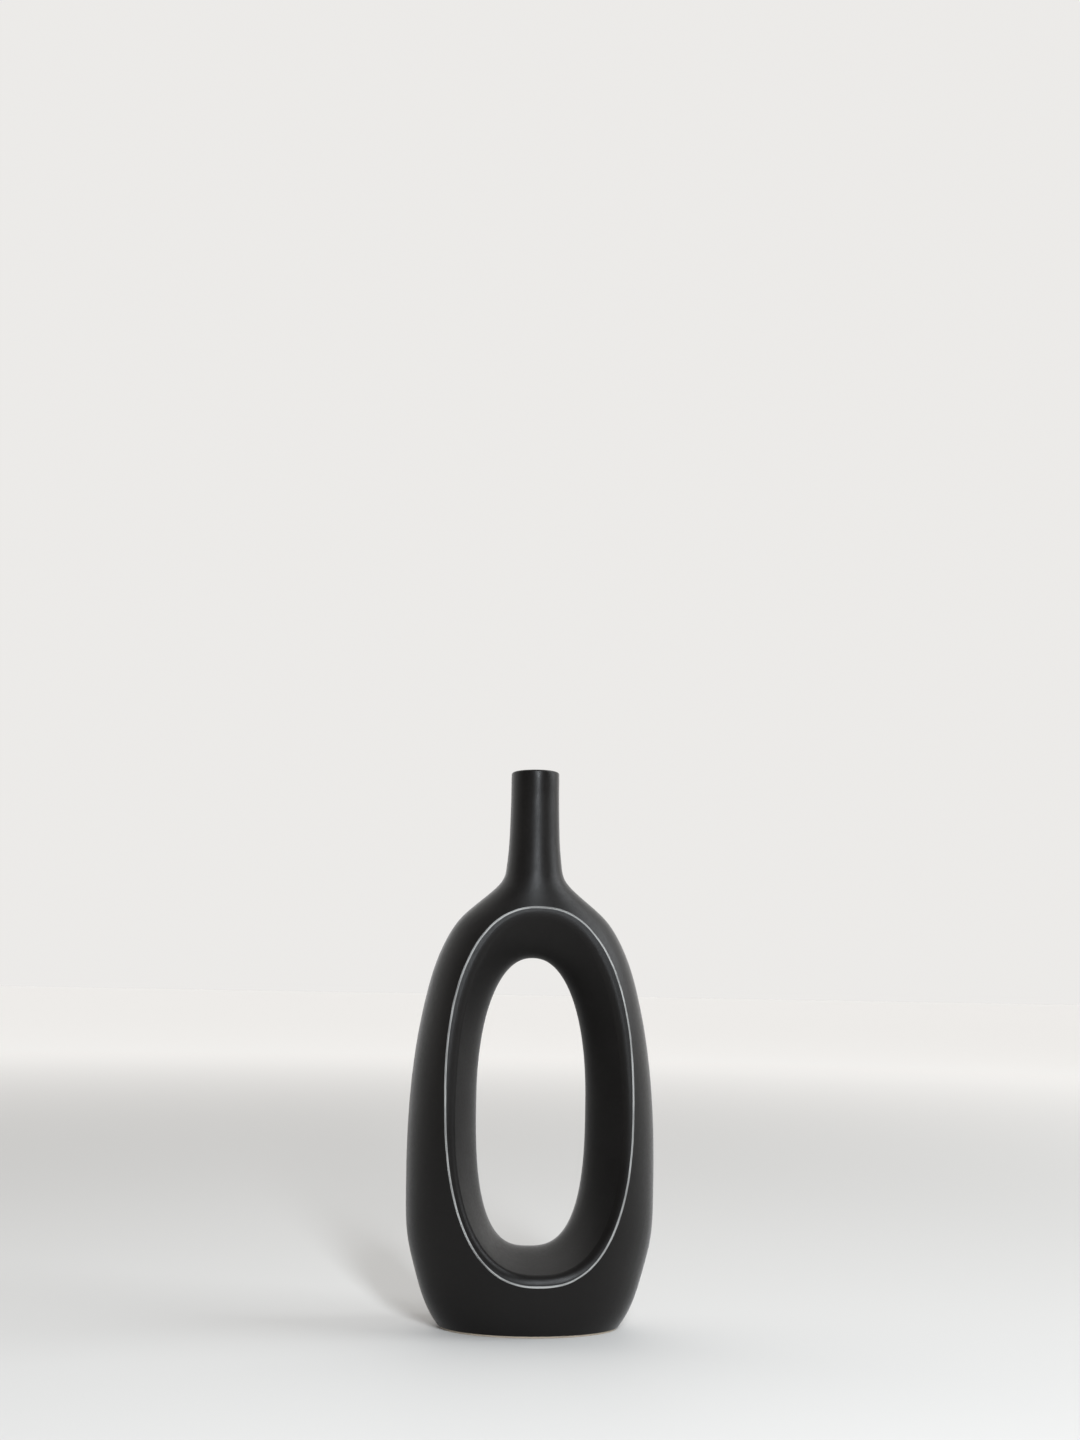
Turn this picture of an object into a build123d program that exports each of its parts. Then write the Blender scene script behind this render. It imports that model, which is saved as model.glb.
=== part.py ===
"""Ceramic bud vase: a flattened, hollow flask with an oval opening through its middle.

Frame: +Z up, origin at the centre of the foot's underside, the front opening faces -Y.
All sizes are in millimetres.
"""

from build123d import *

from math import cos, hypot, pi, radians, sin, tan
import os

os.makedirs("parts", exist_ok=True)

# ---- driving dimensions -------------------------------------------------------------

WALL = 4.5                      # thickness of the clay, measured square to its surface

# Outline of the flask and its neck: height, half width along X, half depth along Y.
OUTLINE = [
    (0.0, 48.3, 27.6),
    (4.0, 51.2, 29.0),
    (14.0, 56.5, 31.4),
    (30.0, 61.7, 33.9),
    (47.0, 65.8, 37.5),
    (71.0, 67.2, 40.8),
    (98.0, 67.1, 42.1),
    (126.0, 65.7, 41.7),
    (153.0, 62.6, 40.4),
    (177.0, 58.0, 37.3),
    (194.0, 53.3, 33.6),
    (210.0, 46.3, 28.4),
    (219.0, 40.2, 24.4),
    (227.0, 31.6, 20.5),
    (234.0, 23.2, 17.6),
    (242.0, 16.4, 15.3),
    (249.0, 14.9, 14.6),
    (257.0, 14.1, 14.0),
    (266.0, 13.6, 13.6),
    (277.0, 13.3, 13.3),
    (288.0, 13.1, 13.1),
    (300.0, 13.0, 13.0),
]

# The oval opening. Its rim lies in a face plane that leans back towards the neck.
RIM_HALF_WIDTH = 50.0
RIM_TOP = 225.0
RIM_BOTTOM = 27.5
RIM_FULLNESS = (2.30, 2.45)     # superellipse exponents above and below the middle
FACE_DEPTH = 27.2               # of the face plane at the middle of the rim
FACE_LEAN = 3.6                 # degrees

WAIST_HALF_WIDTH = 30.0
WAIST_TOP = 198.2
WAIST_BOTTOM = 43.0
WAIST_FULLNESS = (2.2, 2.8)
WAIST_SOFTNESS = 7.0            # how far the narrowest stretch of the wall rounds over

FACE_BAND = 3.8                 # from the rim to where the sloping wall would meet the face
BULLNOSE = 6.0                  # radius between the face band and the sloping wall
ARRIS = 0.4                     # radius on the rim of each shell
RIM_STEP = 0.4                  # the face band lies this far behind the sharp rim
LAP_START = 14.0                # the sleeve fills the rim outline from here outwards

# Neck, collar and mouth.
TOTAL_HEIGHT = OUTLINE[-1][0]
NECK_JOINT = 262.0
BORE_RADIUS = 9.0
SPIGOT_RADIUS = 11.2
SPIGOT_LENGTH = 14.0
CAVITY_TOP = 242.0
LIP_OUTER = 1.2
LIP_INNER = 1.6

# Foot.
FOOT_BAND = 1.2                 # bare clay that shows below the glaze
GLAZE_STEP = 0.3                # the bare band stands this far inside the glazed body
TONGUE_TOP = 4.5
FLOOR_TOP = 9.5
FOOT_INNER = (41.5, 21.0)       # half width and half depth inside the ring
FOOT_EDGE = 0.5
FOOT_WALL = (5.4, 4.95)         # level thickness of the leaning clay at the foot, along X and Y

OVAL_POINTS = 40
VOID_DEPTHS = (7.0, 14.0, 22.0, 32.0, 44.0)     # sections of the opening, each side of the mid plane
FAR = 60.0                      # past the body, for the solids that cut it

RIM_MIDDLE = (RIM_TOP + RIM_BOTTOM) / 2


# ---- shapes used more than once -----------------------------------------------------

def oval_points(half_width, top, bottom, fullness):
    """Points round a superellipse whose upper and lower halves may differ in fullness."""
    middle = (top + bottom) / 2
    half_height = (top - bottom) / 2
    points = []
    for step in range(OVAL_POINTS):
        turn = 2 * pi * step / OVAL_POINTS
        across = cos(turn)
        up = sin(turn)
        power = 2 / (fullness[0] if up >= 0 else fullness[1])
        x = half_width * abs(across) ** power * (1 if across >= 0 else -1)
        z = half_height * abs(up) ** power * (1 if up >= 0 else -1)
        points.append((x, middle + z))
    return points


def oval_sketch(depth, half_width, top, bottom, fullness):
    """A closed oval face, standing at Y = -depth."""
    with BuildSketch(Plane.XZ.offset(depth)) as sketch:
        with BuildLine():
            Spline(oval_points(half_width, top, bottom, fullness), periodic=True)
        make_face()
    return sketch.sketch


def face_depth(height):
    """Distance of the leaning face plane from the mid plane."""
    return FACE_DEPTH - (height - RIM_MIDDLE) * tan(radians(FACE_LEAN))


def flare(depth, face):
    """How open the wall is: 0 at the waist, 1 at the face plane, soft at the waist."""
    opened = hypot(depth, WAIST_SOFTNESS) - WAIST_SOFTNESS
    return opened / (hypot(face, WAIST_SOFTNESS) - WAIST_SOFTNESS)


def wall_oval(depth):
    """Section of the see-through opening at a distance from the mid plane."""
    side = flare(depth, face_depth(RIM_MIDDLE))
    above = flare(depth, face_depth(RIM_TOP))
    below = flare(depth, face_depth(RIM_BOTTOM))
    half_width = WAIST_HALF_WIDTH + side * (RIM_HALF_WIDTH - FACE_BAND - WAIST_HALF_WIDTH)
    top = WAIST_TOP + above * (RIM_TOP - FACE_BAND - WAIST_TOP)
    bottom = WAIST_BOTTOM - below * (WAIST_BOTTOM - RIM_BOTTOM - FACE_BAND)
    blend = min(side, 1.0)
    fullness = [w + blend * (r - w) for w, r in zip(WAIST_FULLNESS, RIM_FULLNESS)]
    return oval_sketch(depth, half_width, top, bottom, fullness)


def rim_oval(depth):
    return oval_sketch(depth, RIM_HALF_WIDTH, RIM_TOP, RIM_BOTTOM, RIM_FULLNESS)


def inset_outline():
    """The outline moved in by the wall, square to the surface, up to the collar."""
    rows = []
    for below, row, above in zip(OUTLINE, OUTLINE[1:], OUTLINE[2:]):
        height, half_width, half_depth = row
        if height >= CAVITY_TOP:
            break
        rise = above[0] - below[0]
        width_slope = (above[1] - below[1]) / rise
        depth_slope = (above[2] - below[2]) / rise
        inner_width = half_width - WALL * hypot(1, width_slope)
        inner_depth = half_depth - WALL * hypot(1, depth_slope)
        rows.append((height, inner_width, inner_depth))
    height, half_width, half_depth = OUTLINE[0]
    foot = (height, half_width - FOOT_WALL[0], half_depth - FOOT_WALL[1])
    return [foot, *rows, (CAVITY_TOP, SPIGOT_RADIUS, SPIGOT_RADIUS)]


def ellipse_sketch(height, half_width, half_depth):
    """A level elliptical section of the flask."""
    with BuildSketch(Plane.XY.offset(height)) as sketch:
        Ellipse(half_width, half_depth)
    return sketch.sketch


# ---- construction solids ------------------------------------------------------------

with BuildPart() as outer_body:
    loft([ellipse_sketch(*row) for row in OUTLINE])

with BuildPart() as cavity:
    loft([ellipse_sketch(*row) for row in inset_outline()])

with BuildPart() as rim_prism:
    extrude(rim_oval(-FAR), amount=2 * FAR)

void_stations = [-depth for depth in reversed(VOID_DEPTHS)] + [0.0, *VOID_DEPTHS]
with BuildPart() as through_void:
    loft([wall_oval(depth) for depth in void_stations])


# ---- the two half shells ------------------------------------------------------------

with BuildPart() as front_shell:
    add(outer_body.part)
    add(cavity.part, mode=Mode.SUBTRACT)
    add(rim_prism.part, mode=Mode.SUBTRACT)
    with BuildSketch(Plane.XY.offset(CAVITY_TOP)):
        Circle(SPIGOT_RADIUS)
    extrude(amount=NECK_JOINT - CAVITY_TOP, mode=Mode.SUBTRACT)
    split(bisect_by=Plane.XY.offset(FOOT_BAND), keep=Keep.TOP)
    split(bisect_by=Plane.XY.offset(NECK_JOINT), keep=Keep.BOTTOM)
    split(bisect_by=Plane.XZ, keep=Keep.TOP)
    rim_loops = front_shell.edges().filter_by(lambda edge: edge.is_closed)
    fillet(rim_loops.sort_by(Axis.Y)[0], radius=ARRIS)
front_shell.part.label = "front_shell"
export_step(front_shell.part, "parts/front_shell.step")

with BuildPart() as rear_shell:
    mirror(front_shell.part, about=Plane.XZ)
rear_shell.part.label = "rear_shell"
export_step(rear_shell.part, "parts/rear_shell.step")


# ---- the sleeve that lines the opening ----------------------------------------------

with BuildPart() as opening_wall:
    narrowest = oval_sketch(
        0,
        WAIST_HALF_WIDTH + WALL,
        WAIST_TOP + WALL,
        WAIST_BOTTOM - WALL,
        WAIST_FULLNESS,
    )
    lap = [rim_oval(LAP_START), rim_oval(FAR)]
    far_lap = [rim_oval(-FAR), rim_oval(-LAP_START)]
    loft([*far_lap, narrowest, *lap], ruled=True)
    with BuildSketch(Plane.YZ):
        with BuildLine():
            low = RIM_BOTTOM - WALL
            high = RIM_TOP + WALL
            low_depth = face_depth(low) - RIM_STEP
            high_depth = face_depth(high) - RIM_STEP
            Polyline(
                (-low_depth, low),
                (low_depth, low),
                (high_depth, high),
                (-high_depth, high),
                close=True,
            )
        make_face()
    extrude(amount=FAR, both=True, mode=Mode.INTERSECT)
    add(through_void.part, mode=Mode.SUBTRACT)
    faces_by_depth = opening_wall.faces().sort_by(Axis.Y)
    for band in (faces_by_depth[0], faces_by_depth[-1]):
        fillet(band.inner_wires()[0].edges(), radius=BULLNOSE)
opening_wall.part.label = "opening_wall"
export_step(opening_wall.part, "parts/opening_wall.step")


# ---- neck ---------------------------------------------------------------------------

with BuildPart() as neck:
    add(outer_body.part)
    split(bisect_by=Plane.XY.offset(NECK_JOINT), keep=Keep.TOP)
    with BuildSketch(Plane.XY.offset(NECK_JOINT - SPIGOT_LENGTH)):
        Circle(SPIGOT_RADIUS)
    extrude(amount=SPIGOT_LENGTH)
    with Locations((0, 0, TOTAL_HEIGHT)):
        Hole(BORE_RADIUS)
    mouth_edges = neck.edges().group_by(Axis.Z)[-1].sort_by(SortBy.LENGTH)
    fillet(mouth_edges[-1], radius=LIP_OUTER)
    mouth_edges = neck.edges().group_by(Axis.Z)[-1].sort_by(SortBy.LENGTH)
    fillet(mouth_edges[0], radius=LIP_INNER)
neck.part.label = "neck"
export_step(neck.part, "parts/neck.step")


# ---- floor and foot -----------------------------------------------------------------

with BuildPart() as base_floor:
    add(cavity.part)
    split(bisect_by=Plane.XY.offset(TONGUE_TOP), keep=Keep.TOP)
    split(bisect_by=Plane.XY.offset(FLOOR_TOP), keep=Keep.BOTTOM)
base_floor.part.label = "base_floor"
export_step(base_floor.part, "parts/base_floor.step")

with BuildPart() as tongue:
    add(cavity.part)
    split(bisect_by=Plane.XY.offset(FOOT_BAND), keep=Keep.TOP)
    split(bisect_by=Plane.XY.offset(TONGUE_TOP), keep=Keep.BOTTOM)

with BuildPart() as foot_ring:
    with BuildSketch():
        Ellipse(OUTLINE[0][1] - GLAZE_STEP, OUTLINE[0][2] - GLAZE_STEP)
    extrude(amount=FOOT_BAND)
    fillet(foot_ring.edges().group_by(Axis.Z)[0], radius=FOOT_EDGE)
    add(tongue.part)
    with BuildSketch():
        Ellipse(*FOOT_INNER)
    extrude(amount=TONGUE_TOP, mode=Mode.SUBTRACT)
foot_ring.part.label = "foot_ring"
export_step(foot_ring.part, "parts/foot_ring.step")
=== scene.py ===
"""Looks for the black ceramic bud vase: glaze, bare clay, floor, light and camera."""

import math

import bpy
from mathutils import Matrix, Vector


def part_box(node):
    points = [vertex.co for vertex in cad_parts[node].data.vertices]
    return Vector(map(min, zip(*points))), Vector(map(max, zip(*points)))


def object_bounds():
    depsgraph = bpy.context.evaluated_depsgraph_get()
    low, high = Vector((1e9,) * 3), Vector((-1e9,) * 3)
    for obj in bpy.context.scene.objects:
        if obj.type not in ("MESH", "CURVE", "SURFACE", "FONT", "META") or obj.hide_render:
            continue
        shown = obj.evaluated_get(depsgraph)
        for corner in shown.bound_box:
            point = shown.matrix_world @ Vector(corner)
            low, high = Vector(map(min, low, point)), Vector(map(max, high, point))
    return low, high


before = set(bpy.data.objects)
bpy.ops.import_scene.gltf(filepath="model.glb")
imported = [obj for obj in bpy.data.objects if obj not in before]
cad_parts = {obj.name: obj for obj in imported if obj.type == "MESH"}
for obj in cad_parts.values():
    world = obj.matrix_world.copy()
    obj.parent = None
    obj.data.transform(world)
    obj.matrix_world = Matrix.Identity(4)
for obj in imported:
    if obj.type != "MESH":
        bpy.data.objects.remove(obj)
cad_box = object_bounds()

# ---- sizes, in metres ---------------------------------------------------------------

MM = 0.001
vase_low, vase_high = cad_box
HEIGHT = vase_high.z - vase_low.z
rim_low, rim_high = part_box("opening_wall")
RIM_HALF_WIDTH = (rim_high.x - rim_low.x) / 2
RIM_HALF_HEIGHT = (rim_high.z - rim_low.z) / 2
RIM_MIDDLE = (rim_high.z + rim_low.z) / 2
RIM_FULLNESS_UP = 2.30
RIM_FULLNESS_DOWN = 2.45


# ---- node helpers -------------------------------------------------------------------

class Nodes:
    """A short way to write a material's node tree."""

    def __init__(self, name):
        self.material = bpy.data.materials.new(name)
        self.material.use_nodes = True
        self.tree = self.material.node_tree
        self.shader = self.tree.nodes["Principled BSDF"]
        self.place = self.add("ShaderNodeTexCoord").outputs["Object"]

    def add(self, kind, **settings):
        node = self.tree.nodes.new(kind)
        for key, value in settings.items():
            setattr(node, key, value)
        return node

    def feed(self, socket, value):
        if isinstance(value, bpy.types.NodeSocket):
            self.tree.links.new(value, socket)
        else:
            socket.default_value = value

    def math(self, operation, first, second=None):
        node = self.add("ShaderNodeMath", operation=operation)
        self.feed(node.inputs[0], first)
        if second is not None:
            self.feed(node.inputs[1], second)
        return node.outputs[0]

    def noise(self, per_metre, detail=2.0, roughness=0.5):
        node = self.add("ShaderNodeTexNoise")
        self.feed(node.inputs["Vector"], self.place)
        self.feed(node.inputs["Scale"], per_metre)
        self.feed(node.inputs["Detail"], detail)
        self.feed(node.inputs["Roughness"], roughness)
        return node.outputs["Fac"]

    def band(self, value, low, high, to_low=0.0, to_high=1.0, smooth=True):
        node = self.add("ShaderNodeMapRange")
        node.interpolation_type = "SMOOTHSTEP" if smooth else "LINEAR"
        self.feed(node.inputs["Value"], value)
        self.feed(node.inputs["From Min"], low)
        self.feed(node.inputs["From Max"], high)
        self.feed(node.inputs["To Min"], to_low)
        self.feed(node.inputs["To Max"], to_high)
        return node.outputs["Result"]

    def mix(self, amount, first, second):
        node = self.add("ShaderNodeMix", data_type="RGBA")
        self.feed(node.inputs[0], amount)
        self.feed(node.inputs[6], first)
        self.feed(node.inputs[7], second)
        return node.outputs[2]

    def bump(self, height, distance, below=None, strength=1.0):
        node = self.add("ShaderNodeBump")
        self.feed(node.inputs["Height"], height)
        self.feed(node.inputs["Distance"], distance)
        self.feed(node.inputs["Strength"], strength)
        if below is not None:
            self.feed(node.inputs["Normal"], below)
        return node.outputs["Normal"]


# ---- glaze --------------------------------------------------------------------------

def rim_distance(nodes, x, z):
    """Distance from the oval rim's outline, seen from the front, in metres."""
    up = nodes.math("SUBTRACT", z, RIM_MIDDLE)
    is_up = nodes.math("GREATER_THAN", up, 0.0)
    fullness = nodes.band(is_up, 0.0, 1.0, RIM_FULLNESS_DOWN, RIM_FULLNESS_UP, smooth=False)
    across = nodes.math("DIVIDE", nodes.math("ABSOLUTE", x), RIM_HALF_WIDTH)
    along = nodes.math("DIVIDE", nodes.math("ABSOLUTE", up), RIM_HALF_HEIGHT)
    across_power = nodes.math("POWER", across, fullness)
    along_power = nodes.math("POWER", along, fullness)
    value = nodes.math("SUBTRACT", nodes.math("ADD", across_power, along_power), 1.0)
    less = nodes.math("SUBTRACT", fullness, 1.0)
    across_slope = nodes.math("DIVIDE", nodes.math("POWER", across, less), RIM_HALF_WIDTH)
    along_slope = nodes.math("DIVIDE", nodes.math("POWER", along, less), RIM_HALF_HEIGHT)
    across_square = nodes.math("POWER", across_slope, 2.0)
    along_square = nodes.math("POWER", along_slope, 2.0)
    slope = nodes.math("SQRT", nodes.math("ADD", across_square, along_square))
    steepness = nodes.math("MULTIPLY", slope, fullness)
    return nodes.math("DIVIDE", value, nodes.math("MAXIMUM", steepness, 0.001))


def glaze(name):
    """Matte black glaze with a satin sheen, thin and pale where it breaks over the rim."""
    nodes = Nodes(name)
    xyz = nodes.add("ShaderNodeSeparateXYZ")
    nodes.feed(xyz.inputs[0], nodes.place)
    x, y, z = xyz.outputs

    clouds = nodes.noise(22.0, detail=3.0)
    speckle = nodes.noise(1500.0, detail=2.0, roughness=0.6)
    grain = nodes.noise(650.0, detail=3.0, roughness=0.6)

    dark = nodes.mix(clouds, (0.0036, 0.0031, 0.0029, 1), (0.0074, 0.0065, 0.0060, 1))
    fleck = nodes.band(speckle, 0.66, 0.74)
    flecked = nodes.mix(nodes.math("MULTIPLY", fleck, 0.20), dark, (0.060, 0.055, 0.050, 1))

    wander = nodes.band(nodes.noise(90.0, detail=1.0), 0.25, 0.75, -0.00007, 0.00007, smooth=False)
    distance = nodes.math("ADD", rim_distance(nodes, x, z), wander)
    outside = nodes.band(nodes.math("ABSOLUTE", distance), 0.00022, 0.00068, 1.0, 0.0)
    on_face = nodes.band(nodes.math("ABSOLUTE", y), 0.015, 0.017)
    rim = nodes.math("MULTIPLY", outside, on_face)
    patchy = nodes.band(nodes.noise(60.0, detail=2.0), 0.3, 0.62, 0.65, 1.0)
    rim_amount = nodes.math("MULTIPLY", rim, patchy)
    colour = nodes.mix(rim_amount, flecked, (0.37, 0.37, 0.36, 1))
    nodes.feed(nodes.shader.inputs["Base Color"], colour)

    sheen_spread = nodes.band(clouds, 0.3, 0.7, 0.34, 0.42)
    fine_spread = nodes.band(grain, 0.3, 0.7, -0.04, 0.04)
    nodes.feed(nodes.shader.inputs["Roughness"], nodes.math("ADD", sheen_spread, fine_spread))
    nodes.feed(nodes.shader.inputs["IOR"], 1.40)
    nodes.feed(nodes.shader.inputs["Specular IOR Level"], 0.28)
    nodes.feed(nodes.shader.inputs["Sheen Weight"], 0.20)
    nodes.feed(nodes.shader.inputs["Sheen Roughness"], 0.35)

    hand = nodes.bump(nodes.noise(28.0, detail=1.0), 0.0004, strength=0.35)
    peel = nodes.bump(grain, 0.00004, below=hand, strength=0.5)
    nodes.feed(nodes.shader.inputs["Normal"], peel)
    return nodes.material


def bare_clay(name):
    """Unglazed stoneware, ground flat: warm grey, dull, with sand specks and fine grit."""
    nodes = Nodes(name)
    body = nodes.mix(nodes.noise(120.0, detail=4.0), (0.44, 0.37, 0.29, 1), (0.60, 0.52, 0.42, 1))
    sand = nodes.band(nodes.noise(1900.0, detail=2.0), 0.64, 0.70)
    speckled = nodes.mix(nodes.math("MULTIPLY", sand, 0.6), body, (0.16, 0.13, 0.10, 1))
    nodes.feed(nodes.shader.inputs["Base Color"], speckled)
    nodes.feed(nodes.shader.inputs["Roughness"], 0.9)
    grit = nodes.noise(1300.0, detail=3.0, roughness=0.7)
    nodes.feed(nodes.shader.inputs["Normal"], nodes.bump(grit, 0.00012, strength=0.7))
    return nodes.material


def dress(node, material):
    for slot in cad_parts[node].material_slots:
        slot.material = material


black = glaze("black_glaze")
clay = bare_clay("bare_clay")
for node in ("front_shell", "rear_shell", "opening_wall", "neck", "base_floor"):
    dress(node, black)
dress("foot_ring", clay)


# ---- floor, light and camera --------------------------------------------------------

def plain_material(name, colour, roughness):
    material = bpy.data.materials.new(name)
    material.use_nodes = True
    shader = material.node_tree.nodes["Principled BSDF"]
    shader.inputs["Base Color"].default_value = colour
    shader.inputs["Roughness"].default_value = roughness
    return material


def make_floor():
    """A pale matte floor that fades, far from the vase, into the pale surroundings."""
    bpy.ops.mesh.primitive_plane_add(size=FLOOR_SIZE, location=(0, 0, vase_low.z))
    floor = bpy.context.object
    floor.name = "floor"
    nodes = Nodes("floor")
    nodes.feed(nodes.shader.inputs["Base Color"], FLOOR_COLOUR)
    nodes.feed(nodes.shader.inputs["Roughness"], 0.7)
    away = nodes.add("ShaderNodeVectorMath", operation="LENGTH")
    nodes.feed(away.inputs[0], nodes.place)
    fade = nodes.band(away.outputs["Value"], FLOOR_FADE[0], FLOOR_FADE[1])
    nodes.feed(nodes.shader.inputs["Emission Color"], PALE)
    nodes.feed(nodes.shader.inputs["Emission Strength"], nodes.math("MULTIPLY", fade, HAZE))
    floor.data.materials.append(nodes.material)


def area_light(name, place, target, width, height, power, colour=(1, 1, 1)):
    """A rectangular lamp; width, height and places are in metres, power in watts."""
    data = bpy.data.lights.new(name, "AREA")
    data.shape = "RECTANGLE"
    data.size = width
    data.size_y = height
    data.energy = power
    data.color = colour
    light = bpy.data.objects.new(name, data)
    light.location = place
    light.rotation_euler = (Vector(target) - Vector(place)).to_track_quat("-Z", "Y").to_euler()
    bpy.context.collection.objects.link(light)


def make_world():
    """Seen directly it is plain and pale. It lights the vase most from behind, as a white wall does."""
    world = bpy.data.worlds.new("studio")
    bpy.context.scene.world = world
    world.use_nodes = True
    tree = world.node_tree
    back = tree.nodes["Background"]
    back.inputs["Color"].default_value = PALE
    place = tree.nodes.new("ShaderNodeTexCoord")
    axes = tree.nodes.new("ShaderNodeSeparateXYZ")
    ramp = tree.nodes.new("ShaderNodeMapRange")
    ramp.interpolation_type = "SMOOTHSTEP"
    tree.links.new(place.outputs["Generated"], axes.inputs[0])
    tree.links.new(axes.outputs["Y"], ramp.inputs["Value"])
    ramp.inputs["From Min"].default_value = ROOM_FADE[0]
    ramp.inputs["From Max"].default_value = ROOM_FADE[1]
    ramp.inputs["To Min"].default_value = ROOM_LIGHT
    ramp.inputs["To Max"].default_value = WALL_LIGHT
    path = tree.nodes.new("ShaderNodeLightPath")
    choose = tree.nodes.new("ShaderNodeMix")
    tree.links.new(path.outputs["Is Camera Ray"], choose.inputs[0])
    tree.links.new(ramp.outputs["Result"], choose.inputs[2])
    choose.inputs[3].default_value = BACKDROP
    tree.links.new(choose.outputs[0], back.inputs["Strength"])


def make_camera():
    """A little below the vase's middle and to its left, turned and rolled as it was held."""
    data = bpy.data.cameras.new("camera")
    data.lens = 36.82
    data.shift_x = 0.092
    data.shift_y = 0.130
    turn = Matrix.Rotation(math.radians(-5.0), 4, "Z")
    raise_up = Matrix.Rotation(math.radians(90.0 + 3.0), 4, "X")
    roll = Matrix.Rotation(math.radians(1.04), 4, "Z")
    camera = bpy.data.objects.new("camera", data)
    camera.matrix_world = Matrix.Translation((-0.1387, -0.7945, 0.1827)) @ turn @ raise_up @ roll
    bpy.context.collection.objects.link(camera)
    bpy.context.scene.camera = camera


FLOOR_SIZE = 60.0
FLOOR_COLOUR = (0.56, 0.552, 0.54, 1)
FLOOR_FADE = (0.5, 3.2)         # metres from the vase
HAZE = 0.40                     # glow of the far floor, on top of its own light
PALE = (1.0, 0.985, 0.965, 1)
BACKDROP = 0.84
ROOM_FADE = (-0.25, 0.35)       # front to back, from the room to the wall
ROOM_LIGHT = 0.15
WALL_LIGHT = 1.2

bpy.context.scene.view_settings.view_transform = "Standard"
make_floor()
make_world()
middle = (0, 0, HEIGHT / 2)
area_light("window", (2.2, -0.3, 1.5), middle, 1.4, 2.2, 46, (0.93, 0.97, 1.0))
area_light("neck_strip", (0.08, -1.1, 0.78), (0, 0, HEIGHT * 0.9), 0.13, 0.9, 17.0, (0.90, 0.95, 1.0))
make_camera()
